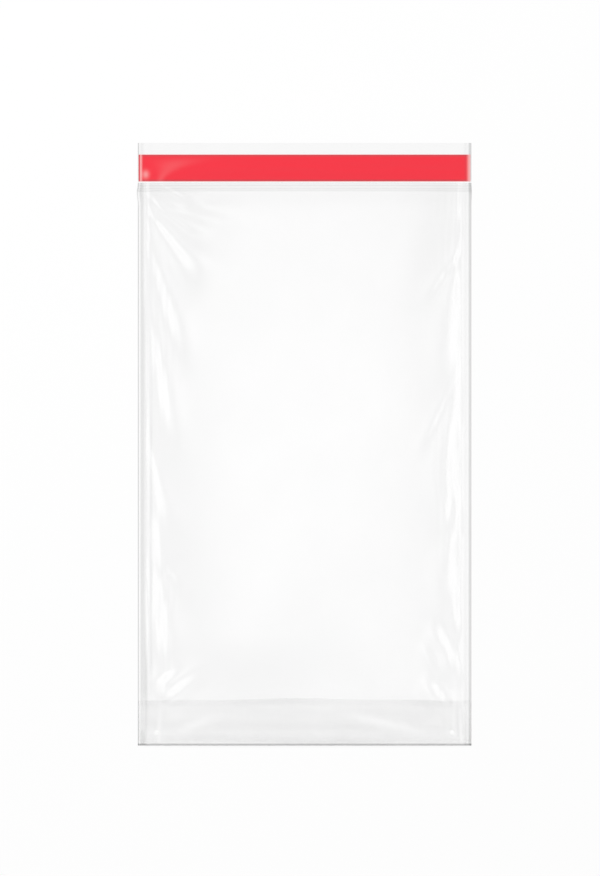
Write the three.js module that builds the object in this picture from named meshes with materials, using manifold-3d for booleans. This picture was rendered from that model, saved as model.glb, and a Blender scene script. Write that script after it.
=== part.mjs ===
// Self-seal film bag, empty, lying on its back panel with the mouth a little open.
// One clear film is folded into a back panel with a flap, a bottom gusset and a front panel,
// and welded down both sides. The flap carries a glue strip under a red release liner.
// Millimetres. X runs across the bag, Y from the bottom fold to the flap, Z up from the floor.
import * as THREE from "three";
import { mergeVertices } from "three/addons/utils/BufferGeometryUtils.js";
import Module from "manifold-3d";

const wasm = await Module();
wasm.setup();

// Driving dimensions of the film
const BAG_WIDTH = 150;
const BODY_LENGTH = 254.5;
const FLAP_LENGTH = 18;
const FILM_THICKNESS = 0.05;
const WELD_WIDTH = 3;
const GUSSET_DEPTH = 19.6;
const HEM_WIDTH = 4.08;

// How far the front panel stands off the back panel along the middle of the bag
const FOLD_RISE = 0.8;
const PILLOW_RISE = 6.2;
const MOUTH_RISE = 4.8;
const PILLOW_CENTRE = 112;
// The higher this power, the flatter the pillow is across its middle
const PILLOW_POWER = 4;

// Swell of the front panel above the inner fold of the gusset, left of the middle
const SWELL_RISE = 2;
const SWELL_X = -34;
const SWELL_SPREAD = 40;
const SWELL_FOOT = 16;
const SWELL_CREST = 38;
const SWELL_TAIL = 130;

// Small features of the film
const BEAD_WIDTH = 0.7;
const BEAD_HEIGHT = 0.12;
const EAR_LEFT = 0.8;
const EAR_RIGHT = 0.5;
const EAR_LENGTH = 10;
const HEM_RIBS = 3;
const HEM_RIB_HEIGHT = 0.16;
const FOLD_WALL = 0.3;

// Flap furniture
const LINER_WIDTH = 12.2;
const LINER_THICKNESS = 0.06;
const LINER_TO_MOUTH = 0.8;
const GLUE_WIDTH = 10;
const GLUE_THICKNESS = 0.03;

// Leaves of the gusset are a hair thinner than the panels, so that their faces never coincide
const LEAF_SHARE = 0.9;
// How far a cutter runs past the wall that it opens
const CUT_MARGIN = 2;

// Grid of the front panel, with columns that crowd towards the welds and rows that are closer near the mouth
const COLUMNS_PER_SIDE = 16;
const CROWDING = 1.6;
const GUSSET_ROWS = 4;
const LOWER_ROWS = 34;
const UPPER_ROWS = 18;
const UPPER_START = 196;

// Creases of the slack front panel run from one point to another, given as distance in from the side edge
// and up from the bottom fold. Each has a slope down its flanks, and a half width that grows along it.
const CREASE_RISE = 0.25;
const CREASE_FALL = 0.5;
const LEFT_CREASES = [
  { start: [8, 254.6], end: [30, 244], slope: 0.33, width: [0.5, 4.5] },
  { start: [8.6, 242.8], end: [30, 231.4], slope: 0.34, width: [0.4, 4.5] },
  { start: [5.8, 236.6], end: [31, 209], slope: 0.3, width: [0.4, 6.5] },
  { start: [5.6, 221.6], end: [23, 176], slope: 0.22, width: [0.4, 4.2] },
  { start: [7.2, 190.4], end: [17.4, 136], slope: 0.2, width: [0.5, 3.8] },
  { start: [6.4, 132], end: [15.4, 106], slope: 0.19, width: [0.4, 6] },
  { start: [7.6, 104.6], end: [9.4, 83], slope: 0.18, width: [1, 1.6] },
  { start: [7.4, 80.4], end: [18.4, 38], slope: 0.19, width: [0.4, 7.5] },
  { start: [6, 25], end: [18, 34.6], slope: 0.36, width: [2.2, 3] },
  { start: [12.4, 19.6], end: [27.6, 32.8], slope: 0.36, width: [1.8, 3.4] },
  { start: [20, 5.4], end: [38, 11.8], slope: 0.2, width: [1.2, 3.4] },
];
const RIGHT_CREASES = [
  { start: [3.4, 252], end: [5.4, 240.6], slope: 0.16, width: [1.2, 1.6] },
  { start: [2.2, 244.4], end: [11, 166], slope: 0.2, width: [0.6, 6.4] },
  { start: [5.2, 219.4], end: [21.4, 196], slope: 0.28, width: [0.8, 2.2] },
  { start: [6, 166], end: [22, 132.6], slope: 0.27, width: [0.8, 2.4] },
  { start: [6.6, 148], end: [13.4, 112], slope: 0.22, width: [0.7, 3.4] },
  { start: [12.8, 128], end: [10.2, 101], slope: 0.2, width: [1.8, 1.2] },
  { start: [6, 106], end: [12, 72], slope: 0.22, width: [0.5, 5] },
  { start: [10.8, 82], end: [6.2, 52], slope: 0.22, width: [3.4, 1.2] },
  { start: [3.2, 70], end: [6, 26], slope: 0.22, width: [0.8, 2.2] },
  { start: [15.8, 55.4], end: [5.6, 28], slope: 0.3, width: [1.2, 2.8] },
  { start: [17.4, 33.6], end: [7.2, 13], slope: 0.34, width: [1.4, 1.3] },
  { start: [24, 6], end: [52, 12], slope: 0.2, width: [0.8, 3.8] },
];

const halfWidth = BAG_WIDTH / 2;
const innerHalf = halfWidth - WELD_WIDTH;
const totalLength = BODY_LENGTH + FLAP_LENGTH;
const hemStart = BODY_LENGTH - HEM_WIDTH;
const hemPitch = HEM_WIDTH / HEM_RIBS;
const beadMiddle = halfWidth - BEAD_WIDTH / 2;
const pocketDepth = GUSSET_DEPTH - FOLD_WALL;

// Closed solid of a geometry: shared corners merged, and triangles that closed up at a rim dropped
function solidOf(geometry) {
  const bare = new THREE.BufferGeometry();
  bare.setAttribute("position", geometry.getAttribute("position"));
  bare.setIndex(geometry.getIndex());
  const merged = mergeVertices(bare, 1e-5);
  const corners = merged.getIndex().array;
  const triangles = [];
  for (let i = 0; i < corners.length; i += 3) {
    const [a, b, c] = corners.slice(i, i + 3);
    if (a !== b && b !== c && c !== a) triangles.push(a, b, c);
  }
  return new wasm.Manifold(new wasm.Mesh({
    numProp: 3,
    vertProperties: new Float32Array(merged.getAttribute("position").array),
    triVerts: new Uint32Array(triangles),
  }));
}

// Solid between two height functions on a grid of X and Y lines
function layer(xLines, yLines, bottom, top, spread = (x) => x) {
  const columns = xLines.length - 1;
  const rows = yLines.length - 1;
  const geometry = new THREE.BoxGeometry(columns, rows, 1, columns, rows, 1);
  const position = geometry.getAttribute("position");
  for (let i = 0; i < position.count; i += 1) {
    const x = xLines[Math.round(position.getX(i) + columns / 2)];
    const y = yLines[Math.round(position.getY(i) + rows / 2)];
    const height = position.getZ(i) > 0 ? top(x, y) : bottom(x, y);
    position.setXYZ(i, spread(x, y), y, height);
  }
  return solidOf(geometry);
}

// Evenly spaced values from first to last
function even(first, last, count) {
  return Array.from({ length: count + 1 }, (_, i) => THREE.MathUtils.lerp(first, last, i / count));
}

// Values from -limit to limit that crowd towards both ends
function crowded(limit, countPerSide, power) {
  const side = even(0, 1, countPerSide).map((share) => limit * (1 - (1 - share) ** power));
  const negative = side.slice(1).reverse().map((value) => -value);
  return [...negative, ...side];
}

// Height of one crease at a point: a bell across its line, which fades in and out along it
function creaseHeight(crease, x, y) {
  const line = new THREE.Vector2().subVectors(crease.end, crease.start);
  const offset = new THREE.Vector2(x, y).sub(crease.start);
  const along = offset.dot(line) / line.lengthSq();
  if (along <= 0 || along >= 1) return 0;
  const across = offset.cross(line) / line.length();
  const width = THREE.MathUtils.lerp(...crease.width, along);
  const fadeIn = THREE.MathUtils.smoothstep(along, 0, CREASE_RISE);
  const fadeOut = THREE.MathUtils.smoothstep(1 - along, 0, CREASE_FALL);
  return crease.slope * width * fadeIn * fadeOut * Math.exp(-((across / width) ** 2));
}

// Creases of one side with their points as vectors, side being -1 for the left and 1 for the right
function placeCreases(creases, side) {
  const point = ([inset, y]) => new THREE.Vector2(side * (halfWidth - inset), y);
  return creases.map((crease) => ({ ...crease, start: point(crease.start), end: point(crease.end) }));
}

const creases = [...placeCreases(LEFT_CREASES, -1), ...placeCreases(RIGHT_CREASES, 1)];

// Height of the pillow along the middle of the bag, falling slowly and then faster to the fold and the mouth
function middleRise(y) {
  if (y < PILLOW_CENTRE) {
    return PILLOW_RISE - (PILLOW_RISE - FOLD_RISE) * (1 - y / PILLOW_CENTRE) ** 2;
  }
  const toMouth = Math.min((y - PILLOW_CENTRE) / (BODY_LENGTH - PILLOW_CENTRE), 1);
  return PILLOW_RISE - (PILLOW_RISE - MOUTH_RISE) * toMouth ** 3;
}

// Extra height where the front panel swells up from the gusset
function swell(x, y) {
  const spread = Math.exp(-(((x - SWELL_X) / SWELL_SPREAD) ** 2));
  const rise = THREE.MathUtils.smoothstep(y, SWELL_FOOT, SWELL_CREST);
  const fall = THREE.MathUtils.smoothstep(y, SWELL_CREST, SWELL_TAIL);
  return SWELL_RISE * spread * (rise - fall);
}

// Ribs pressed into the hem of the mouth
function hemRelief(y) {
  if (y < hemStart || y > BODY_LENGTH) return 0;
  return HEM_RIB_HEIGHT * Math.sin(Math.PI * ((y - hemStart) / hemPitch)) ** 2;
}

// Room between the two panels: nothing at the welds, most along the middle
function gap(x, y) {
  const across = Math.min(Math.abs(x) / innerHalf, 1);
  const section = 1 - across ** PILLOW_POWER;
  const relief = creases.reduce((sum, crease) => sum + creaseHeight(crease, x, y), hemRelief(y));
  const hold = THREE.MathUtils.smoothstep(innerHalf - Math.abs(x), 0, 1);
  return (middleRise(y) + swell(x, y)) * section + relief * hold;
}

// Half the height of the pocket under the bottom, between the two leaves of the gusset
function pocketHalf(x, y) {
  const up = THREE.MathUtils.clamp(y / pocketDepth, 0, 1);
  return (gap(x, y) / 2) * (1 - up);
}

// Middle of the space between the panels, where the gusset has its inner fold
function middleHeight(x, y) {
  return FILM_THICKNESS + gap(x, y) / 2;
}

// Side edges flare out a little where the weld crosses the hem of the mouth
function flare(x, y) {
  const outwards = THREE.MathUtils.clamp((Math.abs(x) - innerHalf) / WELD_WIDTH, 0, 1);
  const along = (y - (BODY_LENGTH - EAR_LENGTH / 2)) / EAR_LENGTH;
  if (Math.abs(along) > 0.5) return x;
  const ear = x < 0 ? EAR_LEFT : EAR_RIGHT;
  return x + Math.sign(x) * ear * outwards * Math.cos(Math.PI * along) ** 2;
}

// Top of the front panel, with the melted bead along each cut edge
function frontTop(x, y) {
  const bead = Math.abs(x) === beadMiddle ? BEAD_HEIGHT : 0;
  return 2 * FILM_THICKNESS + gap(x, y) + bead;
}

// Underside of the front panel, sunk into the back panel where the two are welded
function frontBottom(x, y) {
  const welded = Math.abs(x) > innerHalf ? FILM_THICKNESS / 2 : 0;
  return FILM_THICKNESS + gap(x, y) - welded;
}

// The film: back panel with the flap, front panel welded to it at the sides, and the gusset between them
function bagFilm() {
  const innerLines = crowded(innerHalf, COLUMNS_PER_SIDE, CROWDING);
  const weldLines = [innerHalf + WELD_WIDTH / 2, halfWidth - BEAD_WIDTH, beadMiddle, halfWidth];
  const outerLines = [...weldLines.map((x) => -x).reverse(), ...innerLines, ...weldLines];
  const gussetRows = even(0, GUSSET_DEPTH, GUSSET_ROWS);
  const lowerRows = even(GUSSET_DEPTH, UPPER_START, LOWER_ROWS);
  const upperRows = even(UPPER_START, hemStart, UPPER_ROWS);
  const hemRows = even(hemStart, BODY_LENGTH, 2 * HEM_RIBS);
  const panelRows = [...lowerRows.slice(1), ...upperRows.slice(1)];
  const frontRows = [...gussetRows, ...panelRows, ...hemRows.slice(1)];
  const front = layer(outerLines, frontRows, frontBottom, frontTop, flare);

  const backLines = [-halfWidth, -innerHalf, innerHalf, halfWidth];
  const earRows = even(BODY_LENGTH - EAR_LENGTH, BODY_LENGTH, 2 * HEM_RIBS);
  const back = layer(backLines, [0, ...earRows, totalLength], () => 0, () => FILM_THICKNESS, flare);

  const leaf = LEAF_SHARE * FILM_THICKNESS;
  const tuckBottom = (x, y) => middleHeight(x, y) - pocketHalf(x, y) - leaf;
  const tuckTop = (x, y) => middleHeight(x, y) + pocketHalf(x, y) + leaf;
  const tuck = layer(innerLines, gussetRows, tuckBottom, tuckTop);
  const pocketRows = [-CUT_MARGIN, ...even(0, pocketDepth, GUSSET_ROWS)];
  const pocketBottom = (x, y) => middleHeight(x, y) - pocketHalf(x, y);
  const pocketTop = (x, y) => middleHeight(x, y) + pocketHalf(x, y);
  const pocket = layer(innerLines, pocketRows, pocketBottom, pocketTop);

  return back.add(front).add(tuck.subtract(pocket));
}

// Flat strip across the flap, centred on the liner
function flapStrip(width, thickness, height) {
  const centre = BODY_LENGTH + LINER_TO_MOUTH + LINER_WIDTH / 2;
  const rows = [centre - width / 2, centre + width / 2];
  return layer([-halfWidth, halfWidth], rows, () => height, () => height + thickness);
}

// Named mesh of a solid
function meshOf(name, solid, material) {
  const { vertProperties, triVerts } = solid.getMesh();
  const geometry = new THREE.BufferGeometry();
  geometry.setAttribute("position", new THREE.BufferAttribute(vertProperties, 3));
  geometry.setIndex(new THREE.BufferAttribute(triVerts, 1));
  geometry.computeVertexNormals();
  const mesh = new THREE.Mesh(geometry, material);
  mesh.name = name;
  return mesh;
}

const clearFilm = new THREE.MeshStandardMaterial({
  color: "#f4f6f7",
  roughness: 0.1,
  metalness: 0,
  transparent: true,
  opacity: 0.25,
});
const clearGlue = new THREE.MeshStandardMaterial({
  color: "#ece9e0",
  roughness: 0.5,
  metalness: 0,
  transparent: true,
  opacity: 0.4,
});
const redLiner = new THREE.MeshStandardMaterial({ color: "#f53d4b", roughness: 0.3, metalness: 0 });

const glue = flapStrip(GLUE_WIDTH, GLUE_THICKNESS, FILM_THICKNESS);
const liner = flapStrip(LINER_WIDTH, LINER_THICKNESS, FILM_THICKNESS + GLUE_THICKNESS);

const bag = new THREE.Group();
bag.add(meshOf("bag_film", bagFilm(), clearFilm));
bag.add(meshOf("adhesive_strip", glue, clearGlue));
bag.add(meshOf("release_liner", liner, redLiner));
// The origin is the middle of the back panel and flap, on the floor
bag.position.y = -totalLength / 2;

export default bag;
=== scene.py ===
import bpy
import numpy as np
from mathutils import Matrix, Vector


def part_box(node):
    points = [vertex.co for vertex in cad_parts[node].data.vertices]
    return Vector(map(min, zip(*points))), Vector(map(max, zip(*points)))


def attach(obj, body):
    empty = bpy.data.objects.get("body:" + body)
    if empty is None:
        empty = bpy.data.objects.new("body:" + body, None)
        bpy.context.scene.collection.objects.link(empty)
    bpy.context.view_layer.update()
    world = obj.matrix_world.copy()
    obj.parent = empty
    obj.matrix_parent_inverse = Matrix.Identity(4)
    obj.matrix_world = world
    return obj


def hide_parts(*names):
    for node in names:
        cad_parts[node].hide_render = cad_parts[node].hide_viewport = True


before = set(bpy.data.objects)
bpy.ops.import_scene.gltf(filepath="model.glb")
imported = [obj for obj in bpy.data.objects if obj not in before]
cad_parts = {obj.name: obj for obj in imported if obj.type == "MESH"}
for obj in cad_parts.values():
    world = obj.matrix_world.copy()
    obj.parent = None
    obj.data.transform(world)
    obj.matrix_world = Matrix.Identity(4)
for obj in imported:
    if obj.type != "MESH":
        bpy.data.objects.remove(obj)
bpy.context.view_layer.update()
print("frame loaded:", ", ".join(sorted(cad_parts)))

scene = bpy.context.scene
scene.view_settings.view_transform = "Standard"

# shapes are worked out in millimetres from the bag's own origin, and go into the meshes as metres
mm = 0.001
filmLow, filmHigh = [np.array(corner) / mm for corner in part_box("bag_film")]
linerLow, linerHigh = [np.array(corner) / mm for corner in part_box("release_liner")]
halfWidth = (linerHigh[0] - linerLow[0]) / 2
bottomY = filmLow[1]  # the bottom fold, from which every height up the bag is counted
totalLength = filmHigh[1] - bottomY

# the film: one sheet, from the flap down the back, in and out of the gusset, and up the front
bag = {
    "film": 0.05,
    "weld": 3.0,
    "gusset": 20.6,
    "foldRadius": 0.15,
    "foldSteps": 7,
    "linerToMouth": 0.8,
    "hem": 4.08,
    "hemRibs": 3,
    "hemRib": 0.08,
    "foldRise": 0.8,
    "pillowRise": 6.2,
    "mouthRise": 4.8,
    "pillowCentre": 112.0,
    "pillowPower": 4.0,
    "swell": 2.9,
    "swellX": -30.0,
    "swellWidth": 40.0,
    "swellUp": (18, 50, 140),  # where it starts, is highest and ends
    "weldSlope": 0.09,
    "weldHeld": (0.1, 0.7),  # shares of the full rise between which that slope comes up
    "weldWaves": ((0.16, 17, 1), (0.1, 7.3, 2)),  # height, length, phase
    "weldWavesGo": (4, 30),
    "leftReach": 2.4,
    "rightReach": 3.6,
    "reachTurn": 40.0,  # how far right of the middle the left reach has become the right one
    "narrowed": 2.0,  # what the right reach loses on its way to the mouth
    "narrowedUp": (170, 215),
    "slackWaves": (  # height, lengths along and across the bag, phase
        (0.05, 9.5, 31.0, 0.4),
        (0.07, 14.0, -12.0, 1.9),
        (0.03, 6.1, 8.7, 4.0),
    ),
    "slackComes": (2, 24),
    "pleat": 0.028,
    "pleatLength": 0.5,
    "pleatWander": ((1.3, 13, 1), (0.8, 5.7, 2)),
    "pleatMean": 0.55,
    "pleatUneven": ((0.45, 19, 1.7),),
    "pleatsCome": (0.5, 2.5),
    "pleatsGo": (8, 20),
    "creaseRise": 10.0,
    "creaseRiseShare": (0.25, 0.5),
    "creaseFall": 0.5,
    "creaseLeast": 0.5,
    "creasesCome": (0, 1.0),  # in from the weld
    "reliefComes": (0.2, 3),  # up from the bottom fold
    "innerBulges": ((0.6, -20, 38),),  # height, place across the bag, breadth
    "innerWaves": ((0.35, 21.0, 0.9), (0.2, 8.3, 2.0)),
    "innerComes": (0, 12),
    "leafEase": 0.1,
    "spreadLeft": 0.32,
    "spreadRight": 0.45,
    "earLeft": 0.5,
    "earRight": 0.15,
    "earLength": 10.0,
}
mouthUp = linerLow[1] - bag["linerToMouth"] - bottomY
innerHalf = halfWidth - bag["weld"]

# slopes at which the film mirrors the far edge of the studio's bright ring, its middle and its near edge,
# the dark between the ring and the lit ceiling, the way up from that dark, and the ceiling itself
broad, glint, faint, shade, dusk, level = 0.52, 0.455, 0.41, 0.26, 0.2, 0.02

# creases of the slack front: start and end of the line along which the film is steepest (in from the side
# edge, up the bag), slope there, breadth at its start, middle and end, and how far it bows uphill
leftCreases = [
    ((5, 256.5), (31, 242), glint, (0.8, 2.5, 7), 0),
    ((2.5, 252), (12.5, 240), glint, (1, 2, 2), 0),
    ((3, 252), (7, 236), glint, (1, 1.8, 1.4), 0),
    ((3.5, 242), (6, 226), glint, (1, 1.6, 1.2), 0),
    ((6, 245), (33, 227), glint, (0.8, 3, 7), 0),
    ((3, 243), (34, 203), broad, (0.6, 6, 12), 0.5),
    ((4, 230), (25, 162), glint, (0.6, 6, 4), 0),
    ((5, 202), (19.5, 122), glint, (0.6, 5.5, 4), -1),
    ((4.5, 140), (13.5, 92), glint, (0.6, 4, 8), 0),
    ((6.5, 108), (9, 72), glint, (1, 3.4, 1.5), 0.5),
    ((9, 83), (21, 71.5), glint, (1.5, 2.6, 2), 0.3),
    ((7, 84), (13.5, 31), broad, (0.8, 6.5, 7), 0),
    ((2.5, 25.5), (21, 36.5), faint, (2, 4, 2), 0),
    ((8.5, 17.5), (32, 39), glint, (1.5, 5, 2), 0),
    ((18, 5.5), (42, 15.5), level, (2.5, 3.5, 2.5), 0),
    ((2, 246), (52, 236.5), shade, (2.5, 4, 6), 0),
]
rightCreases = [
    ((4.5, 268), (5, 228), broad, (1, 2.6, 1.5), 0),
    ((3.5, 240), (9, 190), glint, (1, 3, 4), 0),
    ((4, 222), (10.5, 154), glint, (1.5, 7.5, 5), 0),
    ((1.5, 228), (23, 197), glint, (1, 3, 3), 0),
    ((5.5, 169.5), (25.5, 125), faint, (1, 3, 3), 0),
    ((5, 178), (9, 128), glint, (1, 3, 4), 0),
    ((6, 152), (10, 96), glint, (2, 8, 3), 0),
    ((10.5, 116), (10, 92), glint, (1.5, 2, 1.5), 0),
    ((6, 112), (8, 76), glint, (1, 3, 4), 0),
    ((5.5, 102), (9.5, 52), glint, (2, 8, 3), 0),
    ((6.5, 74), (6, 44), glint, (1.5, 3, 2), 0),
    ((17.5, 60), (2.5, 26), glint, (1.5, 6, 4), 0),
    ((21.5, 50), (13, 30), glint, (1.5, 3.4, 1.5), 0),
    ((21, 34.5), (5, 13), glint, (2.5, 5.5, 2.5), 1),
    ((62, 15.5), (14, 4.5), level, (2.5, 3.5, 2), 0),
    ((12, 256), (30, 186), dusk, (6, 13, 10), 0),
]


def smooth(value, low, high):
    # smoothstep from 0 at low to 1 at high
    share = np.clip((value - low) / (high - low), 0, 1)
    return share * share * (3 - 2 * share)


def fadeOut(value, low, high):
    # smoothstep from 1 at low to 0 at high
    return 1 - smooth(value, low, high)


def bell(distance, width):
    # exp(-(distance / width)^2)
    return np.exp(-((distance / width) ** 2))


def addBells(value, place, bells):
    # adds height * exp(-((place - middle) / breadth)^2) for each bell
    for height, middle, breadth in bells:
        value = value + height * bell(place - middle, breadth)
    return value


def addWaves(value, place, side, waves):
    # adds height * sin(place / length + phase * side) for each wave
    for height, length, phase in waves:
        value = value + height * np.sin(place / length + phase * side)
    return value


def slack(x, up):
    # slow waves of a film that nothing pulls tight, the sum of a few long sines
    total = 0
    for height, lengthUp, lengthX, phase in bag["slackWaves"]:
        total = total + height * np.sin(up / lengthUp + x / lengthX + phase)
    return total


def pleats(x, up):
    # fine pleats along the welds, a sine across with a phase and a height that wander along the bag
    inset = innerHalf - np.abs(x)
    side = np.sign(x)
    phase = addWaves(inset / bag["pleatLength"], up, side, bag["pleatWander"])
    uneven = addWaves(bag["pleatMean"], up, side, bag["pleatUneven"])
    near = smooth(inset, *bag["pleatsCome"]) * fadeOut(inset, *bag["pleatsGo"]) * uneven
    return bag["pleat"] * near * np.sin(phase)


def middleRise(up):
    # from the highest point the height falls with the cube of the way to the mouth, and the square of the
    # way to the fold
    past = (up - bag["pillowCentre"]) / (mouthUp - bag["pillowCentre"])
    short = 1 - up / bag["pillowCentre"]
    top = bag["pillowRise"]
    toMouth = top - (top - bag["mouthRise"]) * np.clip(past, 0, 1) ** 3
    return toMouth - (top - bag["foldRise"]) * np.clip(short, 0, 1) ** 2


def smoothGap(x, up):
    # room between the panels: the middle's rise times 1 - |x / half|^power, with a swell above the inner
    # fold and a quick, slightly uneven rise beside the welds, which is narrower near the mouth on the right
    inset = np.clip(innerHalf - np.abs(x), 0, None)
    section = 1 - np.clip(np.abs(x) / innerHalf, 0, 1) ** bag["pillowPower"]
    swellStart, swellTop, swellEnd = bag["swellUp"]
    swell = bag["swell"] * (smooth(up, swellStart, swellTop) - smooth(up, swellTop, swellEnd))
    swell = swell * bell(x - bag["swellX"], bag["swellWidth"])
    uneven = addWaves(0, up, np.sign(x), bag["weldWaves"])
    held = smooth(middleRise(up) / bag["pillowRise"], *bag["weldHeld"])
    rightReach = bag["rightReach"] - bag["narrowed"] * smooth(up, *bag["narrowedUp"])
    toRight = smooth(x, -bag["reachTurn"], bag["reachTurn"])
    reach = bag["leftReach"] + (rightReach - bag["leftReach"]) * toRight
    beside = bag["weldSlope"] * reach * smooth(inset, 0, reach) * held
    beside = beside * (1 + uneven * fadeOut(inset, *bag["weldWavesGo"]))
    return (middleRise(up) + swell) * section + beside


def panelSlope(x, up):
    # slope of the smooth panel across and along the bag, from two near points
    near = 0.05
    acrossBag = (smoothGap(x + near, up) - smoothGap(x - near, up)) / (2 * near)
    alongBag = (smoothGap(x, up + near) - smoothGap(x, up - near)) / (2 * near)
    return acrossBag, alongBag


def creaseRelief(x, up):
    # at a distance q from its line a crease adds steepness * q * exp(-(q / breadth)^2), just steep enough
    # that the panel's slope and its own make the wanted slope; the breadth is the parabola through its
    # three values
    total = np.zeros(np.broadcast(x, up).shape)
    share = np.linspace(0, 1, 9)  # places along a crease at which the panel's slope is looked up
    for side, creases in ((-1, leftCreases), (1, rightCreases)):
        for (insetA, upA), (insetB, upB), slope, (breadthA, breadthM, breadthB), bow in creases:
            startX = side * (halfWidth - insetA)
            lineX, lineUp = side * (insetA - insetB), upB - upA
            length = np.hypot(lineX, lineUp)
            panelX, panelUp = panelSlope(startX + share * lineX, upA + share * lineUp)
            turn = np.sign(np.mean(panelX * lineUp - panelUp * lineX)) / length
            uphillX, uphillUp = turn * lineUp, -turn * lineX
            across = panelX * uphillX + panelUp * uphillUp
            alongside = panelX**2 + panelUp**2 - across**2
            steepness = np.sqrt(np.clip(slope**2 - alongside, level**2, None)) - across
            offX, offUp = x - startX, up - upA
            along = np.clip((offX * lineX + offUp * lineUp) / length**2, 0, 1)
            aside = offX * uphillX + offUp * uphillUp - 4 * bow * along * (1 - along)
            breadth = breadthA * (1 - along) * (1 - 2 * along) + breadthB * along * (2 * along - 1)
            breadth = np.clip(breadth + 4 * breadthM * along * (1 - along), bag["creaseLeast"], None)
            rising = np.clip(bag["creaseRise"] / length, *bag["creaseRiseShare"])
            fade = smooth(along, 0, rising) * smooth(1 - along, 0, bag["creaseFall"])
            total = total + np.interp(along, share, steepness) * fade * aside * bell(aside, breadth)
    return total


def panelGap(x, up):
    # the same room with the creases, pleats, hem ribs and slack waves of the front panel, eased by
    # (gap + sqrt(gap^2 + film^2) - film) / 2 so that the panels never cross
    inset = innerHalf - np.abs(x)
    hemStart = mouthUp - bag["hem"]
    ribs = np.sin(np.pi * (up - hemStart) / (bag["hem"] / bag["hemRibs"])) ** 2
    relief = creaseRelief(x, up) + pleats(x, up) + bag["hemRib"] * ribs * (up > hemStart)
    relief = relief * smooth(inset, *bag["creasesCome"]) + slack(x, up) * smooth(inset, *bag["slackComes"])
    gap = smoothGap(x, up) + relief * smooth(up, *bag["reliefComes"])
    return (gap + np.sqrt(gap**2 + bag["film"] ** 2) - bag["film"]) / 2


def flared(x, up):
    # the weld is pressed a little wider than the film was, and its edges swing out further where they cross
    # the hem, as one cosine-squared hump
    outwards = np.clip((np.abs(x) - innerHalf) / bag["weld"], 0, 1)
    along = np.clip((up - (mouthUp - bag["earLength"] / 2)) / bag["earLength"], -0.5, 0.5)
    spread = np.where(x < 0, bag["spreadLeft"], bag["spreadRight"])
    ear = np.where(x < 0, bag["earLeft"], bag["earRight"])
    return x + np.sign(x) * outwards * (spread + ear * np.cos(np.pi * along) ** 2)


def steps(*stretches):
    # values along stretches of (start, end, step), each joined to the next
    runs = []
    for start, end, step in stretches:
        count = max(int(round(abs(end - start) / step)), 1)
        runs.append(np.linspace(start, end, count, endpoint=False))
    return np.concatenate(runs + [[end]])


def columns(*stretches):
    # places across the bag, as far in from the one side edge as from the other
    inset = steps(*stretches)
    return np.concatenate([inset - halfWidth, (halfWidth - inset)[-2::-1]])[None, :]


def filmSheet():
    # rows follow the film from the top of the flap to the mouth's edge, columns run across the bag, and both
    # are closest where the film is creased or folded
    t = bag["film"]
    backMiddle, frontMiddle, leastGap = 0.5 * t, 1.5 * t, t / 3
    x = columns((0, 12, 0.28), (12, 30, 0.42), (30, halfWidth, 2.5))

    # the inner fold isn't quite straight, and a fold's radius is a sixth of the room at the bottom, within
    # limits
    wave = addWaves(addBells(0, x, bag["innerBulges"]), x, 1, bag["innerWaves"])
    depth = bag["gusset"] + wave * smooth(innerHalf - np.abs(x), *bag["innerComes"])
    radius = np.clip(smoothGap(x, np.zeros_like(x)) / 6, t / 6, bag["foldRadius"])
    turn = np.linspace(-np.pi / 2, np.pi / 2, bag["foldSteps"])[1:-1, None]

    def frontHeight(up):
        return frontMiddle + panelGap(x, up)

    def leafHeights(up):
        # the gusset's leaves near each other evenly up to the inner fold, and the upper one gives way where
        # the front panel dips, by the soft minimum (a + b - hypot(a - b, ease)) / 2
        share = np.clip(up / depth, 0, 1)
        room = panelGap(x, up)
        pressed = room - np.minimum(2 * radius, room / 2)
        free = smoothGap(x, up) * (1 - share / 2)
        ease = np.minimum(bag["leafEase"], room / 4)
        upper = np.clip((pressed + free - np.hypot(pressed - free, ease)) / 2, 0, None)
        lower = np.maximum(upper * share / (2 - share), np.minimum(2 * radius, upper / 2))
        return backMiddle + np.maximum(lower, leastGap), frontMiddle + np.minimum(upper, room - leastGap)

    backRows = [
        (totalLength, mouthUp, 1.5), (mouthUp, mouthUp - 12, 0.8), (mouthUp - 12, 4, 8), (4, 0.3, 0.5),
    ]
    leafRows = [
        (0, 0.002, 0.001), (0.002, 0.05, 0.016), (0.05, 0.95, 0.06), (0.95, 0.998, 0.016), (0.998, 1, 0.001),
    ]
    frontRows = [
        (0.3, 30, 0.45), (30, 60, 0.8), (60, 195, 1.5), (195, 225, 0.7),
        (225, mouthUp - 4.5, 0.36), (mouthUp - 4.5, mouthUp, 0.18),
    ]
    backUp, leafShare, frontUp = [steps(*rows)[:, None] for rows in (backRows, leafRows, frontRows)]
    leafUp = radius + leafShare * (depth - 2 * radius)

    flat = np.zeros_like(x)
    innerLow, innerHigh = leafHeights(depth - radius)
    innerMiddle, innerHalfGap = (innerLow + innerHigh) / 2, (innerHigh - innerLow) / 2
    lowerLeaf, upperLeaf = leafHeights(leafUp)
    frontEdge = frontHeight(radius)
    stretches = [
        (backUp + flat, backMiddle + flat + 0 * backUp),
        (radius - radius * np.cos(turn), backMiddle + radius + radius * np.sin(turn)),
        (leafUp, lowerLeaf),
        (depth - radius + radius * np.cos(turn), innerMiddle + innerHalfGap * np.sin(turn)),
        (leafUp[::-1], upperLeaf[::-1]),
        (radius - radius * np.cos(turn), frontEdge - radius + radius * np.sin(turn)),
        (frontUp + flat, frontHeight(frontUp)),
    ]
    up = np.vstack([ups for ups, heights in stretches])
    z = np.vstack([heights for ups, heights in stretches])
    numbers = [np.full(len(ups), number) for number, (ups, heights) in enumerate(stretches)]
    stretch = np.concatenate(numbers)[:, None] + 0 * x
    flatX = x + 0 * up
    return flared(flatX, up), up, z, flatX, stretch, depth + 0 * up


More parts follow.
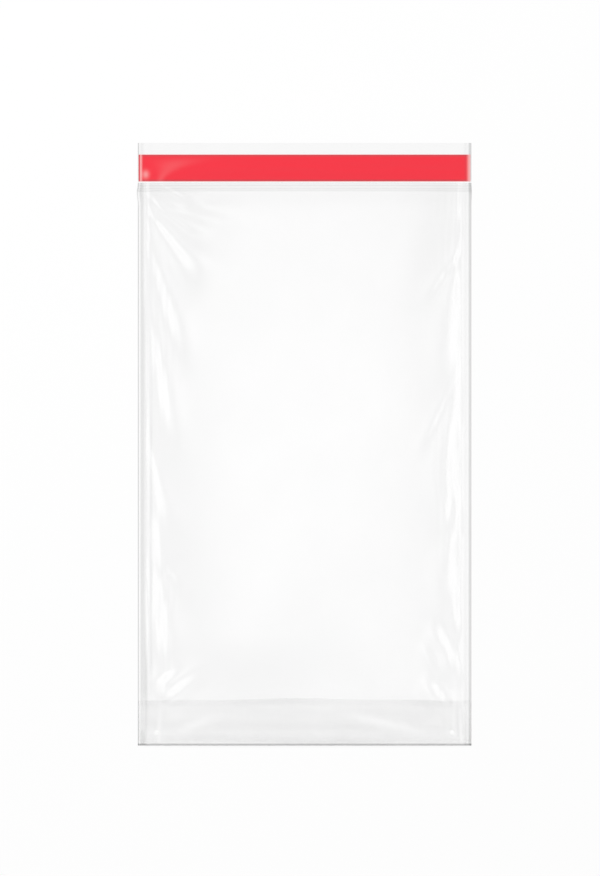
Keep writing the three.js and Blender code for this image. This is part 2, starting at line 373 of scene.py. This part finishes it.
# the film's stretches are numbered in the order of its rows, and those of the gusset lie between these two
backStretch, frontStretch = 0, 6


def gridFaces(rowCount, columnCount):
    # a quad between each point of a grid and the next ones along its row and column
    corner = np.arange(rowCount * columnCount).reshape(rowCount, columnCount)
    quads = [corner[:-1, :-1], corner[:-1, 1:], corner[1:, 1:], corner[1:, :-1]]
    return np.stack([q.ravel() for q in quads], axis=1)


def meshObject(name, points, faces):
    # points in millimetres go in as metres, and every face is shaded smooth
    mesh = bpy.data.meshes.new(name)
    mesh.vertices.add(len(points))
    mesh.vertices.foreach_set("co", (points * mm).astype(np.float32).ravel())
    mesh.loops.add(faces.size)
    mesh.loops.foreach_set("vertex_index", faces.astype(np.int32).ravel())
    mesh.polygons.add(len(faces))
    mesh.polygons.foreach_set("loop_start", np.arange(0, faces.size, 4, dtype=np.int32))
    mesh.polygons.foreach_set("use_smooth", np.ones(len(faces), dtype=bool))
    mesh.update(calc_edges=True)
    mesh.validate()
    piece = bpy.data.objects.new(name, mesh)
    scene.collection.objects.link(piece)
    return piece


def storeValue(piece, name, values):
    # one value for each point, which a material reads by this name
    layer = piece.data.attributes.new(name, "FLOAT", "POINT")
    layer.data.foreach_set("value", values.astype(np.float32).ravel())


# where the film is darker: the share of light that its melted edges, welds, ears, pressed lines and gusset
# leaves take, the front's darkening towards the hem, and painted shade along the bottom and inner folds,
# over the flap and in a line beside the left weld; and where they come and go, counted in from the side
# edge, up the bag (Up) or down from the mouth (Down)
lines = {
    "leftEdge": 0.30,
    "leftEdgeGoes": (0.25, 0.6),
    "leftBand": 0.17,
    "leftBandComes": (0.7, 1.3),
    "leftBandGoes": (2.2, 3.6),
    "leftBandOnFlap": 0.35,
    "leftBandLow": 0.42,
    "leftBandLowUp": (14, 26),
    "leftBandWider": 0.9,
    "leftBandWiderUp": (25, 75),
    "leftBandNarrower": 0.5,
    "leftBandNarrowerUp": (185, 215),
    "leftFoot": 0.07,
    "leftFootUp": (6, 8),
    "leftFootComes": (0.7, 1.2),
    "leftFootGoes": (2.6, 3.4),
    # painted shade: a dark line beside the left weld, where the film mirrors the studio's dark
    "leftShadeLine": 0.05,
    "leftLineInset": 5.7,
    "leftLineWidth": 0.7,
    "leftLineUp": (18, 40),
    "leftLineLoss": 0.9,
    "leftLineLossUp": (130, 190),
    "rightEdge": 0.24,
    "rightEdgeGoes": (0.7, 1.4),
    "rightLine": 0.03,
    "rightLineInset": 2.3,
    "rightLineWidth": 0.8,
    "rightLineUp": (25, 80),
    "rightWeld": 0.014,
    "rightWeldGoes": (2.6, 3.2),
    "ear": 0.07,
    "earGoes": (0.6, 2.0),
    "earDown": (3.0, 7.5),
    "earSpared": 0.6,  # what the left edge loses there
    "earSparedDown": 5,
    "earSparedWidth": 5,
    "hem": 0.038,
    "hemDown": (4.4, 4.0),
    "hemLine": 0.05,
    "hemLinesDown": (1.4, 2.7, 3.7),
    "hemLineWidth": 0.27,
    "upper": 0.014,
    "upperUp": (150, 250),
    "belowHem": 0.02,
    "belowHemUp": (240, 249),
    # painted shade: the bottom fold's dark line and its contact shadow
    "bottomFoldShade": 0.45,
    "bottomFoldUp": (0.6, 1.0),
    # painted shade along the gusset's inner fold
    "innerFoldShade": 0.024,
    "innerFoldBelow": 1.3,
    "innerFoldWidth": 1.4,
    "innerFoldLeast": 0.3,
    "innerFoldDark": ((1, -14, 26), (1, 56, 9), (0.6, -62, 6)),  # height, place across the bag, breadth
    "leaf": 0.020,
    "leafLow": 1.35,
    "leafLoss": 0.6,
    "leafLossUp": (8, 19),
    "leafBandsUp": ((0.4, 2.2, 1.3), (-0.4, 6, 1.2)),
    "leafWave": (0.15, 1.1, 40),  # height, lengths along and across the bag
    "streakEase": 0.4,
    # painted shade over the flap
    "flap": 0.05,
    "most": 0.9,
}

# painted highlights in the gusset, where the leaves' darkening is taken away: start and end (in from the
# side edge, up the bag), breadth, and how much of that darkening they take away
leftPaintedGlints = [
    ((15, 5.5), (40, 15.5), 2.2, 1),
    ((10, 28), (9, -4), 0.9, 1),
    ((-8, 16), (36, 15), 4.5, 0.6),
]
rightPaintedGlints = [
    ((14, 4.5), (60, 15.5), 2, 1),
    ((13.5, 30), (6, 5), 1, 1),
    ((9, 31), (2, 7), 0.7, 1),
    ((5.5, 28), (3.5, -6), 0.8, 1),
    ((24, 17), (-9, 16), 5, 0.85),
]


def streak(inset, up, start, end, breadth, clear):
    # a bell across the line from start to end, eased in and out along it
    lineIn, lineUp = end[0] - start[0], end[1] - start[1]
    length = np.hypot(lineIn, lineUp)
    along = ((inset - start[0]) * lineIn + (up - start[1]) * lineUp) / length**2
    aside = ((inset - start[0]) * lineUp - (up - start[1]) * lineIn) / length
    ease = lines["streakEase"]
    return clear * bell(aside, breadth) * smooth(along, 0, ease) * smooth(1 - along, 0, ease)


def leftWeldTint(inset, up):
    # the melted edge, weaker at the ear; the weld's band, weaker over the gusset and on the flap and wider
    # low down; its dark foot; and a line of painted shade beside it, strongest in the lower half
    atEar = 1 - lines["earSpared"] * bell(mouthUp - up - lines["earSparedDown"], lines["earSparedWidth"])
    edge = lines["leftEdge"] * fadeOut(inset, *lines["leftEdgeGoes"]) * atEar
    held = 1 - (1 - lines["leftBandLow"]) * fadeOut(up, *lines["leftBandLowUp"])
    held = np.where(up > mouthUp, lines["leftBandOnFlap"], held)
    widened = lines["leftBandWider"] * fadeOut(up, *lines["leftBandWiderUp"])
    widened = widened - lines["leftBandNarrower"] * smooth(up, *lines["leftBandNarrowerUp"])
    band = smooth(inset, *lines["leftBandComes"]) * fadeOut(inset - widened, *lines["leftBandGoes"]) * held
    foot = lines["leftFoot"] * fadeOut(up, *lines["leftFootUp"]) * smooth(inset, *lines["leftFootComes"])
    foot = foot * fadeOut(inset, *lines["leftFootGoes"])
    # painted shade beside the weld, strongest in the lower half
    pressed = smooth(up, *lines["leftLineUp"])
    pressed = pressed * (1 - lines["leftLineLoss"] * smooth(up, *lines["leftLineLossUp"]))
    line = lines["leftShadeLine"] * bell(inset - lines["leftLineInset"], lines["leftLineWidth"]) * pressed
    return edge + lines["leftBand"] * band + foot + line


def rightWeldTint(inset, up):
    # the melted edge, the line pressed beside it, stronger low down, and the weld
    edge = lines["rightEdge"] * fadeOut(inset, *lines["rightEdgeGoes"])
    line = lines["rightLine"] * bell(inset - lines["rightLineInset"], lines["rightLineWidth"])
    line = line * (2 - smooth(up, *lines["rightLineUp"]))
    return edge + line + lines["rightWeld"] * fadeOut(inset, *lines["rightWeldGoes"])


def gussetTint(inset, up, x, depth):
    # painted shade along the inner fold, darkest in three places, and bands along the leaves, taken away
    # into painted highlights where the streaks are
    folded = addBells(lines["innerFoldLeast"], x, lines["innerFoldDark"])
    # painted shade along the inner fold
    inner = lines["innerFoldShade"] * folded * bell(depth - up - lines["innerFoldBelow"], lines["innerFoldWidth"])
    bands = lines["leafLow"] - lines["leafLoss"] * smooth(up, *lines["leafLossUp"])
    bands = addBells(bands, up, lines["leafBandsUp"])
    waveHeight, waveUp, waveX = lines["leafWave"]
    bands = bands + waveHeight * np.sin(up / waveUp + x / waveX)
    # painted highlights: the leaves' darkening is taken away along the listed streaks
    leftKept = np.prod([1 - streak(inset, up, *line) for line in leftPaintedGlints], axis=0)
    rightKept = np.prod([1 - streak(inset, up, *line) for line in rightPaintedGlints], axis=0)
    bands = bands * np.where(x < 0, leftKept, rightKept)
    return inner + lines["leaf"] * bands


def filmTint(up, x, stretch, depth):
    # welds on the front and the flap, ears, the pressed hem with its lines, the front's darkening towards
    # the hem, painted shade along the bottom fold and over the flap, and the gusset with its painted shade
    # and highlights
    inset = halfWidth - np.abs(x)
    fromMouth = mouthUp - up
    weld = np.where(x < 0, leftWeldTint(inset, up), rightWeldTint(inset, up))
    ear = lines["ear"] * fadeOut(inset, *lines["earGoes"]) * fadeOut(fromMouth, *lines["earDown"])
    hemLines = [bell(fromMouth - down, lines["hemLineWidth"]) for down in lines["hemLinesDown"]]
    hem = lines["hem"] * smooth(fromMouth, *lines["hemDown"]) + lines["hemLine"] * sum(hemLines)
    upper = lines["upper"] * smooth(up, *lines["upperUp"])
    upper = upper + lines["belowHem"] * smooth(up, *lines["belowHemUp"])
    # painted shade along the bottom fold
    bottom = lines["bottomFoldShade"] * fadeOut(up, *lines["bottomFoldUp"])
    onFront = (stretch == frontStretch) * (weld + ear + hem + upper + bottom)
    onGusset = ((stretch > backStretch) & (stretch < frontStretch)) * gussetTint(inset, up, x, depth)
    # painted shade over the flap, together with its welds
    onFlap = ((stretch == backStretch) & (up > mouthUp)) * (weld + lines["flap"])
    return np.clip(onFront + onGusset + onFlap, 0, lines["most"])


def shaderNode(tree, kind, **settings):
    node = tree.nodes.new(kind)
    for name, value in settings.items():
        setattr(node, name, value)
    return node


def newMaterial(name):
    material = bpy.data.materials.new(name)
    material.use_nodes = True
    material.node_tree.nodes.clear()
    return material, material.node_tree


filmLook = {
    "clear": (0.997, 0.997, 0.997, 1),
    "mirrored": 0.077,
    "edgeOn": 5,  # power with which the mirrored share grows towards a grazing view
    "smoothest": 0.12,
    "roughest": 0.19,
    "patches": 45,
    "patchDetail": 3,
    "patchRange": (0.3, 0.7),
    "holeInset": 8.2,
    "holeUp": 6.0,
    "holeRadius": 1.2,
    "holeEdge": 0.9,
}


def clearFilmMaterial():
    # thin clear film: see-through, with a mirror share of r + (1 - r)(1 - cos)^5, darker where its tint and
    # painted shade say and lighter where painted highlights lift that, and with a small vent hole through
    # all layers in both bottom corners
    material, tree = newMaterial("clearFilm")
    link = tree.links.new
    # the film's darkening, painted shade included, lifted where painted highlights are
    tintAndPaintedLight = shaderNode(tree, "ShaderNodeAttribute", attribute_name="tintAndPaintedLight")
    clear = shaderNode(tree, "ShaderNodeMix", data_type="RGBA")
    clear.inputs["A"].default_value = filmLook["clear"]
    clear.inputs["B"].default_value = (0, 0, 0, 1)
    link(tintAndPaintedLight.outputs["Fac"], clear.inputs["Factor"])
    through = shaderNode(tree, "ShaderNodeBsdfTransparent")
    link(clear.outputs["Result"], through.inputs["Color"])
    gloss = shaderNode(tree, "ShaderNodeBsdfAnisotropic")
    gloss.inputs["Color"].default_value = (1, 1, 1, 1)
    place = shaderNode(tree, "ShaderNodeTexCoord")
    patches = shaderNode(tree, "ShaderNodeTexNoise")
    patches.inputs["Scale"].default_value = filmLook["patches"]
    patches.inputs["Detail"].default_value = filmLook["patchDetail"]
    link(place.outputs["Object"], patches.inputs["Vector"])
    hazed = shaderNode(tree, "ShaderNodeMapRange")
    hazed.inputs["From Min"].default_value = filmLook["patchRange"][0]
    hazed.inputs["From Max"].default_value = filmLook["patchRange"][1]
    hazed.inputs["To Min"].default_value = filmLook["smoothest"]
    hazed.inputs["To Max"].default_value = filmLook["roughest"]
    link(patches.outputs["Fac"], hazed.inputs["Value"])
    link(hazed.outputs["Result"], gloss.inputs["Roughness"])
    facing = shaderNode(tree, "ShaderNodeLayerWeight")
    facing.inputs["Blend"].default_value = 0.5
    power = shaderNode(tree, "ShaderNodeMath", operation="POWER")
    power.inputs[1].default_value = filmLook["edgeOn"]
    link(facing.outputs["Facing"], power.inputs[0])
    share = shaderNode(tree, "ShaderNodeMapRange")
    share.inputs["To Min"].default_value = filmLook["mirrored"]
    link(power.outputs[0], share.inputs["Value"])
    mixed = shaderNode(tree, "ShaderNodeMixShader")
    link(share.outputs["Result"], mixed.inputs["Fac"])
    link(through.outputs[0], mixed.inputs[1])
    link(gloss.outputs[0], mixed.inputs[2])
    split = shaderNode(tree, "ShaderNodeSeparateXYZ")
    link(place.outputs["Object"], split.inputs[0])
    eitherSide = shaderNode(tree, "ShaderNodeMath", operation="ABSOLUTE")
    link(split.outputs["X"], eitherSide.inputs[0])
    spot = shaderNode(tree, "ShaderNodeCombineXYZ")
    link(eitherSide.outputs[0], spot.inputs["X"])
    link(split.outputs["Y"], spot.inputs["Y"])
    fromHole = shaderNode(tree, "ShaderNodeVectorMath", operation="DISTANCE")
    holeX, holeY = halfWidth - filmLook["holeInset"], bottomY + filmLook["holeUp"]
    fromHole.inputs[1].default_value = (holeX * mm, holeY * mm, 0)
    link(spot.outputs[0], fromHole.inputs[0])
    outside = shaderNode(tree, "ShaderNodeMapRange")
    outside.inputs["From Min"].default_value = filmLook["holeEdge"] * filmLook["holeRadius"] * mm
    outside.inputs["From Max"].default_value = filmLook["holeRadius"] * mm
    link(fromHole.outputs["Value"], outside.inputs["Value"])
    hole = shaderNode(tree, "ShaderNodeBsdfTransparent")
    pierced = shaderNode(tree, "ShaderNodeMixShader")
    link(outside.outputs["Result"], pierced.inputs["Fac"])
    link(hole.outputs[0], pierced.inputs[1])
    link(mixed.outputs[0], pierced.inputs[2])
    output = shaderNode(tree, "ShaderNodeOutputMaterial")
    link(pierced.outputs[0], output.inputs["Surface"])
    return material


def makeBagFilm():
    x, up, z, flatX, stretch, depth = filmSheet()
    points = np.stack([x, up + bottomY, z], axis=-1).reshape(-1, 3)
    piece = meshObject("bagFilm", points, gridFaces(*x.shape))
    # darkening of the film, with painted shade and painted highlights in it
    storeValue(piece, "tintAndPaintedLight", filmTint(up, flatX, stretch, depth))
    piece.data.materials.append(clearFilmMaterial())
    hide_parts("bag_film")
    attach(piece, "root")
    print("bag film:", len(points), "points,", 2 * len(piece.data.polygons), "triangles")


# the release liner: a red strip stuck along the flap, melted into the weld at both ends
liner = {
    "lowered": 0.25,
    "rim": 0.6,
    "rimDrop": 0.05,
    "rimDropIn": 0.25,
    "bubble": 0.12,
    "bubbleInset": 3.2,
    "bubbleAbove": 3.2,
    "bubbleSize": (1.5, 1.8),
    "fold": 0.04,
    "foldInset": 9.5,
    "foldLean": 0.35,
    "foldBend": 0.06,
    "foldWidth": 1.4,
    "foldWidens": 0.09,
    "foldGoes": (7, 12.5),
    "red": (0.925, 0.011, 0.034, 1),
    "darkRed": (0.60, 0.05, 0.065, 1),
    "edgeDark": ((1, 0.55, 0.3),),  # strength, distance in, breadth
    "leftDark": ((0.9, 0.4, 0.28), (0.15, 2.2, 0.7)),
    "rightDark": ((0.35, 2.1, 0.5), (0.2, 1.0, 0.3)),
    # the colour of the painted highlights on the melted ends, rim, bubble and fold
    "paintedHighlight": (0.95, 0.42, 0.42, 1),
    "leftPaleComes": (0.5, 0.8),
    "leftPaleGoes": (0.8, 2.1),
    "leftTipHighlight": 0.3,
    "leftTipIn": 0.4,
    "rightPaleGoes": (0.3, 2.1),
    "bubbleHighlight": 0.7,
    "foldHighlight": 0.13,
    "rimHighlight": 0.5,
    "rimPaleIn": 0.3,
    "specular": 0.5,
    "roughness": 0.22,
    "streaks": (40, 400, 400),
    "streakDetail": 3,
    "streakRange": (0.35, 0.8),
    "wear": 0.08,
}


def makeLiner():
    # a flat strip whose rim dips to the glue, with a bubble, the product of two bells, and a fold at its
    # left end, a bell about a parabola that leans in and widens upwards
    low, high = np.array([linerLow[1], linerHigh[1]]) - bottomY - liner["lowered"]
    rim = liner["rim"]
    x = columns((0, 6, 0.2), (6, 30, 0.6), (30, halfWidth, 2.5))
    up = steps((low, low + rim, 0.1), (low + rim, high - rim, 0.35), (high - rim, high, 0.1))[:, None]
    x, up = x + 0 * up, up + 0 * x
    edge = np.minimum(up - low, high - up)
    inset, above = x + halfWidth, up - low
    bubbleWidth, bubbleHeight = liner["bubbleSize"]
    bubble = bell(inset - liner["bubbleInset"], bubbleWidth)
    bubble = bubble * bell(above - liner["bubbleAbove"], bubbleHeight)
    fromFold = inset - liner["foldInset"] - liner["foldLean"] * above - liner["foldBend"] * above**2
    foldWidth = liner["foldWidth"] + liner["foldWidens"] * above**2
    fold = bell(fromFold, foldWidth) * fadeOut(above, *liner["foldGoes"])
    relief = liner["bubble"] * bubble + liner["fold"] * fold
    z = linerHigh[2] + relief - liner["rimDrop"] * fadeOut(edge, 0, liner["rimDropIn"])
    points = np.stack([x, up + bottomY, z], axis=-1).reshape(-1, 3)
    piece = meshObject("releaseLiner", points, gridFaces(*x.shape))

    # darker lines along its edges and in its ends, and painted highlights on its melted ends, along its rim
    # and on the bubble and fold
    fromEnd = halfWidth - np.abs(x)
    leftDark, rightDark = [addBells(0, fromEnd, liner[name]) for name in ("leftDark", "rightDark")]
    dark = addBells(0, edge, liner["edgeDark"]) + np.where(x < 0, leftDark, rightDark)
    storeValue(piece, "dark", np.clip(dark, 0, 1))
    # painted highlights on the melted ends, the rim, the bubble and the fold
    leftHighlight = smooth(fromEnd, *liner["leftPaleComes"]) * fadeOut(fromEnd, *liner["leftPaleGoes"])
    leftHighlight = leftHighlight + liner["leftTipHighlight"] * fadeOut(fromEnd, 0, liner["leftTipIn"])
    rightHighlight = fadeOut(fromEnd, *liner["rightPaleGoes"])
    bumpHighlight = liner["bubbleHighlight"] * bubble + liner["foldHighlight"] * fold
    paintedHighlight = np.where(x < 0, leftHighlight, rightHighlight) + bumpHighlight
    paintedHighlight = paintedHighlight + liner["rimHighlight"] * fadeOut(edge, 0, liner["rimPaleIn"])
    storeValue(piece, "paintedHighlight", np.clip(paintedHighlight, 0, 1))
    piece.data.materials.append(redLinerMaterial())
    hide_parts("release_liner")
    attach(piece, "root")
    print("release liner:", len(points), "points")


def redLinerMaterial():
    # red plastic with fine lengthwise wear, darker and with painted highlights where the strip's own values
    # say
    material, tree = newMaterial("redLiner")
    link = tree.links.new
    body = shaderNode(tree, "ShaderNodeBsdfPrincipled")
    dark = shaderNode(tree, "ShaderNodeAttribute", attribute_name="dark")
    # painted highlights
    paintedHighlight = shaderNode(tree, "ShaderNodeAttribute", attribute_name="paintedHighlight")
    place = shaderNode(tree, "ShaderNodeTexCoord")
    stretched = shaderNode(tree, "ShaderNodeMapping")
    stretched.inputs["Scale"].default_value = liner["streaks"]
    link(place.outputs["Object"], stretched.inputs["Vector"])
    streaks = shaderNode(tree, "ShaderNodeTexNoise")
    streaks.inputs["Scale"].default_value = 1
    streaks.inputs["Detail"].default_value = liner["streakDetail"]
    link(stretched.outputs[0], streaks.inputs["Vector"])
    worn = shaderNode(tree, "ShaderNodeMapRange")
    worn.inputs["From Min"].default_value = liner["streakRange"][0]
    worn.inputs["From Max"].default_value = liner["streakRange"][1]
    worn.inputs["To Max"].default_value = liner["wear"]
    link(streaks.outputs["Fac"], worn.inputs["Value"])
    darker = shaderNode(tree, "ShaderNodeMath", operation="MAXIMUM")
    link(worn.outputs["Result"], darker.inputs[0])
    link(dark.outputs["Fac"], darker.inputs[1])
    edged = shaderNode(tree, "ShaderNodeMix", data_type="RGBA")
    edged.inputs["A"].default_value = liner["red"]
    edged.inputs["B"].default_value = liner["darkRed"]
    link(darker.outputs[0], edged.inputs["Factor"])
    # mixes in the painted highlights
    highlighted = shaderNode(tree, "ShaderNodeMix", data_type="RGBA")
    highlighted.inputs["B"].default_value = liner["paintedHighlight"]
    link(edged.outputs["Result"], highlighted.inputs["A"])
    link(paintedHighlight.outputs["Fac"], highlighted.inputs["Factor"])
    link(highlighted.outputs["Result"], body.inputs["Base Color"])
    body.inputs["Specular IOR Level"].default_value = liner["specular"]
    body.inputs["Roughness"].default_value = liner["roughness"]
    output = shaderNode(tree, "ShaderNodeOutputMaterial")
    link(body.outputs[0], output.inputs["Surface"])
    return material


# the glue under the liner keeps its solid: a clear, slightly milky strip with thick and thin places
glue = {
    "thin": (0.93, 0.92, 0.88, 1),
    "thick": (0.82, 0.80, 0.72, 1),
    "opacity": 0.5,
    "roughness": 0.35,
    "patches": 120,
}


def finishGlue():
    material, tree = newMaterial("clearGlue")
    link = tree.links.new
    place = shaderNode(tree, "ShaderNodeTexCoord")
    patches = shaderNode(tree, "ShaderNodeTexNoise")
    patches.inputs["Scale"].default_value = glue["patches"]
    link(place.outputs["Object"], patches.inputs["Vector"])
    colour = shaderNode(tree, "ShaderNodeMix", data_type="RGBA")
    colour.inputs["A"].default_value = glue["thin"]
    colour.inputs["B"].default_value = glue["thick"]
    link(patches.outputs["Fac"], colour.inputs["Factor"])
    body = shaderNode(tree, "ShaderNodeBsdfPrincipled")
    body.inputs["Roughness"].default_value = glue["roughness"]
    body.inputs["Alpha"].default_value = glue["opacity"]
    link(colour.outputs["Result"], body.inputs["Base Color"])
    output = shaderNode(tree, "ShaderNodeOutputMaterial")
    link(body.outputs[0], output.inputs["Surface"])
    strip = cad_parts["adhesive_strip"]
    strip.data.materials.clear()
    strip.data.materials.append(material)
    print("glue strip finished")


studio = {
    "floorDrop": 0.2,
    "floorSize": 6000.0,
    "paper": 0.96,
    "shaded": 0.15,
    "glow": 0.845,
    "keyZenith": 40,
    "keyAzimuth": 125,
    "keyDistance": 1500.0,
    "keySize": 600.0,
    "keyRadiance": 7.2,
    "cameraHeight": 2600.0,
    "cameraPlace": (-2.04, 2.86),
    "cameraSensor": 36.0,
    "cameraReach": 50000.0,
    "frameHeight": 396.0,
    # brightness of the studio by angle from straight up, down to the horizon
    "sky": (
        (0, 1.22), (2, 1.2), (5, 1.06), (9, 0.88), (14, 0.69), (20, 0.46), (28, 0.24),
        (35, 0.27), (40, 0.65), (45, 1.25), (50, 1.5), (55, 1.25), (61, 0.7), (70, 0.4), (90, 0.4),
    ),
}


def makeFloor():
    # pale paper that glows to the camera and in what the film mirrors, and still takes a shadow
    half = studio["floorSize"] / 2
    corners = np.array([[-half, -half, 0], [half, -half, 0], [half, half, 0], [-half, half, 0]])
    floor = meshObject("floor", corners - [0, 0, studio["floorDrop"]], np.array([[0, 1, 2, 3]]))
    material, tree = newMaterial("paperFloor")
    link = tree.links.new
    shaded = shaderNode(tree, "ShaderNodeBsdfDiffuse")
    shaded.inputs["Color"].default_value = (studio["shaded"], studio["shaded"], studio["shaded"], 1)
    glow = shaderNode(tree, "ShaderNodeEmission")
    glow.inputs["Strength"].default_value = studio["glow"]
    seen = shaderNode(tree, "ShaderNodeAddShader")
    link(shaded.outputs[0], seen.inputs[0])
    link(glow.outputs[0], seen.inputs[1])
    paper = shaderNode(tree, "ShaderNodeBsdfDiffuse")
    paper.inputs["Color"].default_value = (studio["paper"], studio["paper"], studio["paper"], 1)
    path = shaderNode(tree, "ShaderNodeLightPath")
    mirrored = shaderNode(tree, "ShaderNodeMath", operation="MAXIMUM")
    link(path.outputs["Is Glossy Ray"], mirrored.inputs[0])
    link(path.outputs["Is Transmission Ray"], mirrored.inputs[1])
    shown = shaderNode(tree, "ShaderNodeMath", operation="MAXIMUM")
    link(path.outputs["Is Camera Ray"], shown.inputs[0])
    link(mirrored.outputs[0], shown.inputs[1])
    mixed = shaderNode(tree, "ShaderNodeMixShader")
    link(shown.outputs[0], mixed.inputs["Fac"])
    link(paper.outputs[0], mixed.inputs[1])
    link(seen.outputs[0], mixed.inputs[2])
    output = shaderNode(tree, "ShaderNodeOutputMaterial")
    link(mixed.outputs[0], output.inputs["Surface"])
    floor.data.materials.append(material)


def makeWorld():
    # brightness follows the angle from straight up, and is plain white where the camera sees past the floor
    world = bpy.data.worlds.new("studio")
    scene.world = world
    world.use_nodes = True
    tree = world.node_tree
    tree.nodes.clear()
    link = tree.links.new
    sky = studio["sky"]
    horizon = sky[-1][0]
    brightest = max(brightness for degrees, brightness in sky)
    place = shaderNode(tree, "ShaderNodeTexCoord")
    split = shaderNode(tree, "ShaderNodeSeparateXYZ")
    link(place.outputs["Generated"], split.inputs[0])
    angle = shaderNode(tree, "ShaderNodeMath", operation="ARCCOSINE")
    link(split.outputs["Z"], angle.inputs[0])
    share = shaderNode(tree, "ShaderNodeMapRange")
    share.inputs["From Max"].default_value = np.radians(horizon)
    link(angle.outputs[0], share.inputs["Value"])
    ramp = shaderNode(tree, "ShaderNodeFloatCurve")
    curve = ramp.mapping.curves[0]
    curve.points[0].location = (0, sky[0][1] / brightest)
    curve.points[1].location = (1, sky[-1][1] / brightest)
    for degrees, brightness in sky[1:-1]:
        curve.points.new(degrees / horizon, brightness / brightest)
    for point in curve.points:
        point.handle_type = "VECTOR"
    ramp.mapping.update()
    link(share.outputs["Result"], ramp.inputs["Value"])
    lit = shaderNode(tree, "ShaderNodeMath", operation="MULTIPLY")
    lit.inputs[1].default_value = brightest
    link(ramp.outputs["Value"], lit.inputs[0])
    path = shaderNode(tree, "ShaderNodeLightPath")
    strength = shaderNode(tree, "ShaderNodeMix", data_type="FLOAT")
    strength.inputs["B"].default_value = 1
    link(path.outputs["Is Camera Ray"], strength.inputs["Factor"])
    link(lit.outputs[0], strength.inputs["A"])
    back = shaderNode(tree, "ShaderNodeBackground")
    back.inputs["Color"].default_value = (1, 1, 1, 1)
    link(strength.outputs["Result"], back.inputs["Strength"])
    output = shaderNode(tree, "ShaderNodeOutputWorld")
    link(back.outputs[0], output.inputs["Surface"])


def makeKey():
    # a square area lamp that looks at the bag from beyond the flap's left end, with a power of
    # radiance * pi * area; the film doesn't mirror it
    size, distance = studio["keySize"] * mm, studio["keyDistance"] * mm
    zenith, azimuth = np.radians(studio["keyZenith"]), np.radians(studio["keyAzimuth"])
    lamp = bpy.data.lights.new("key", "AREA")
    lamp.shape = "SQUARE"
    lamp.size = size
    lamp.energy = studio["keyRadiance"] * np.pi * size**2
    holder = bpy.data.objects.new("key", lamp)
    holder.location = (
        distance * np.sin(zenith) * np.cos(azimuth),
        distance * np.sin(zenith) * np.sin(azimuth),
        distance * np.cos(zenith),
    )
    holder.rotation_euler = (0, zenith, azimuth)
    holder.visible_glossy = False
    scene.collection.objects.link(holder)


def makeCamera():
    # straight down on the bag, far off and with a long lens, as the photograph has no visible perspective
    camera = bpy.data.cameras.new("camera")
    camera.sensor_width = studio["cameraSensor"]
    camera.lens = studio["cameraSensor"] * studio["cameraHeight"] / studio["frameHeight"]
    camera.clip_end = studio["cameraReach"] * mm
    holder = bpy.data.objects.new("camera", camera)
    cameraX, cameraY = studio["cameraPlace"]
    holder.location = (cameraX * mm, cameraY * mm, studio["cameraHeight"] * mm)
    scene.collection.objects.link(holder)
    scene.camera = holder


makeBagFilm()
makeLiner()
finishGlue()
makeFloor()
makeWorld()
makeKey()
makeCamera()
print("studio ready")
